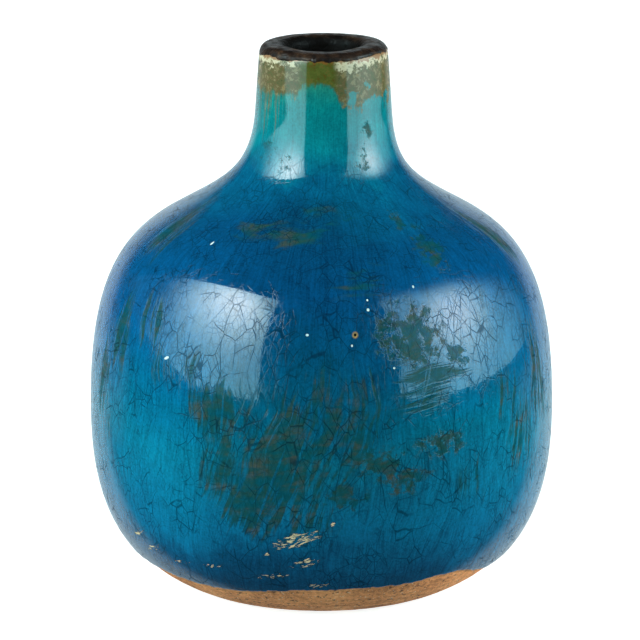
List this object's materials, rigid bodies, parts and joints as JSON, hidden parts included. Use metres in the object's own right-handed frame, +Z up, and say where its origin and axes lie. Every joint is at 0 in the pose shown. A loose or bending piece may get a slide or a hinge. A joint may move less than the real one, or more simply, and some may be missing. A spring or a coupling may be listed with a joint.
{
  "type": "bud vase",
  "caption": "Small round-bellied pottery bud vase with a narrow neck, crackled blue glaze, dark lip and bare clay foot.",
  "frame": {"origin": "middle of the flat standing ring, on the table", "axes": "+Z up along the vase's axis and out of the mouth; -Y is the side with the rubbed brown patch low in the middle, which is the front; +X is to the right of that front"},
  "size_m": [0.104, 0.104, 0.12],
  "materials": {
    "clay": "matte",
    "blue_glaze": "gloss",
    "lip_glaze": "gloss",
    "liner_glaze": "gloss"
  },
  "bodies": {
    "root": {"clay_body": "clay", "outer_glaze": "blue_glaze", "lip_glaze": "lip_glaze", "liner_glaze": "liner_glaze"}
  },
  "joints": []
}
